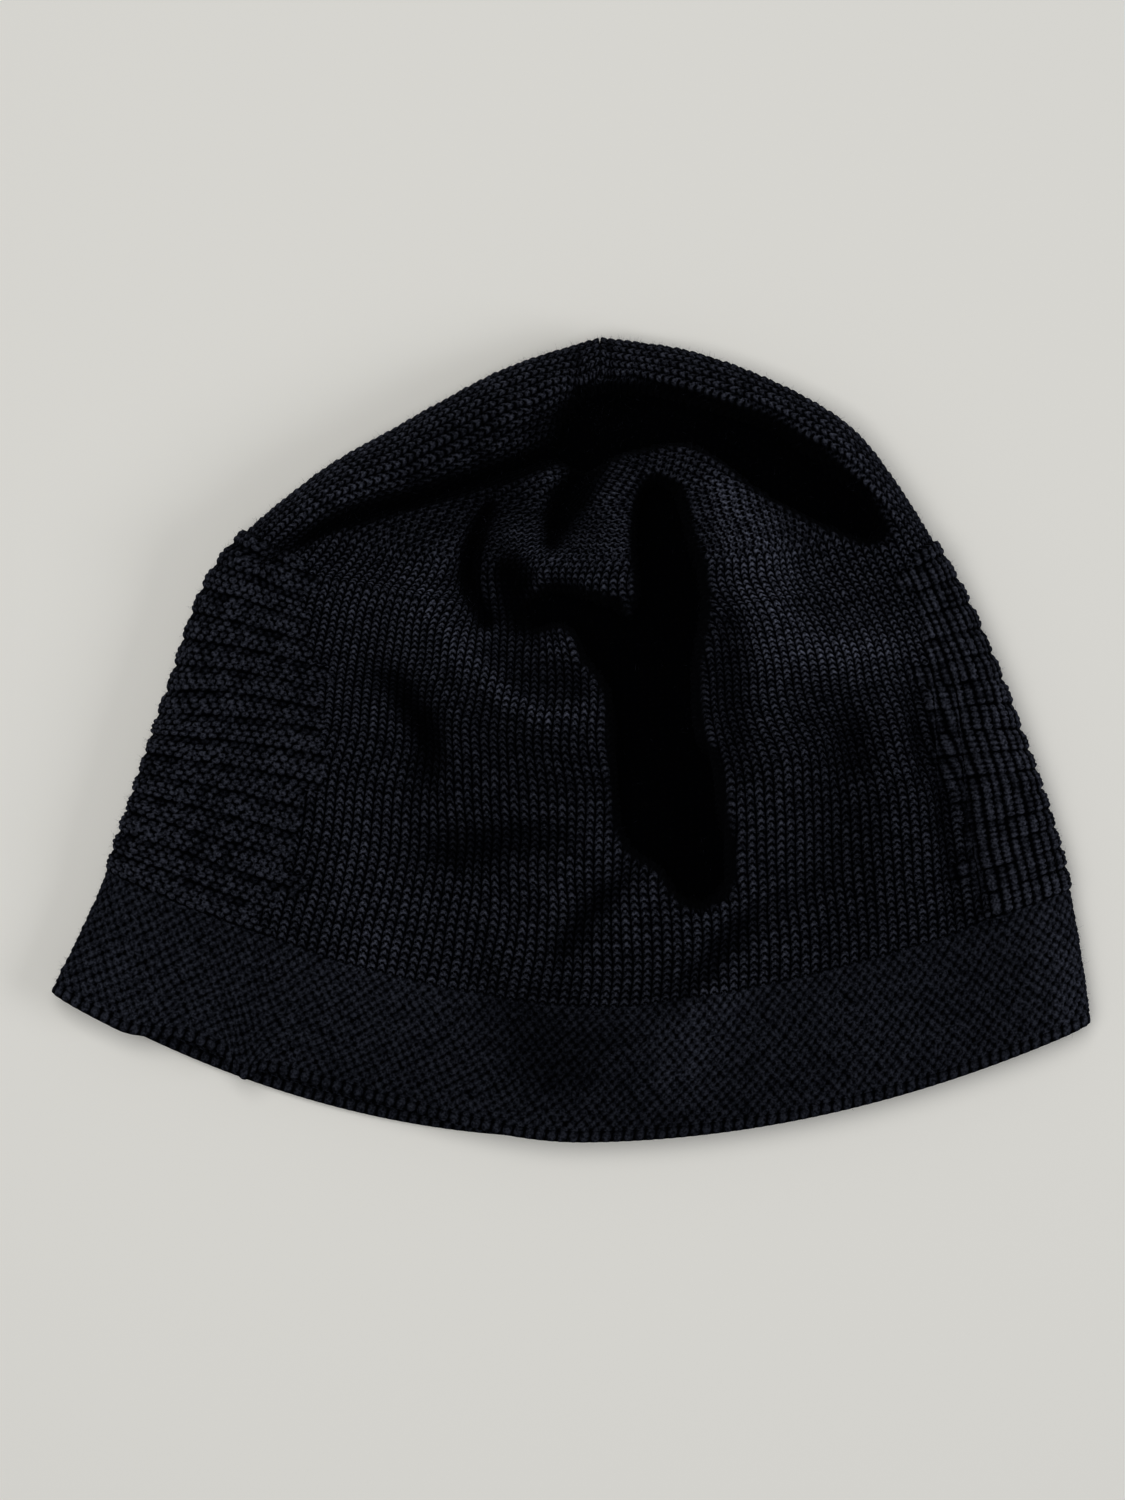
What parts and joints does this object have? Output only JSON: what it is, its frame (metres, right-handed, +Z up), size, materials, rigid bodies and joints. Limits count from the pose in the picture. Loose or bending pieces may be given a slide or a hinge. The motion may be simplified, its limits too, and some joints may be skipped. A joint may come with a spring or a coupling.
{
  "type": "knit beanie",
  "caption": "Soft dark knitted beanie lying flat, with a seed-stitch hem, ridged side panels, a plain front and a puffed gathered crown; its front layer lifts to open the mouth.",
  "frame": {"origin": "middle of the cap's box in plan, on the surface that the cap lies on", "axes": "+X across the flattened cap, +Y from the mouth towards the crown, +Z up from the back layer to the front layer"},
  "size_m": [0.27, 0.2082, 0.024],
  "materials": {
    "knit_body": "fine black wool knit, matt with a soft sheen",
    "knit_hem": "black wool in seed stitch, matt and pebbled",
    "cast_on_yarn": "black wool chain edge, slightly fuzzy",
    "knit_crown": "fine black wool knit, matt with a light halo of fibres"
  },
  "bodies": {
    "back_layer": {"back_panel": "knit_body", "left_side_panel": "knit_body", "right_side_panel": "knit_body", "hem_left": "knit_hem", "hem_right": "knit_hem", "hem_back": "knit_hem", "cast_on_edge_back": "cast_on_yarn", "crown_left_gore": "knit_crown", "crown_right_gore": "knit_crown", "crown_tip": "knit_crown"},
    "front_layer": {"front_panel": "knit_body", "hem_front": "knit_hem", "cast_on_edge_front": "cast_on_yarn"}
  },
  "joints": [
    {"name": "mouth_opening", "type": "hinge", "parent": "back_layer", "child": "front_layer", "pos_m": [0, 0.0441, 0.0217], "axis": [-1, 0, 0], "range_deg": [0, 20]}
  ]
}
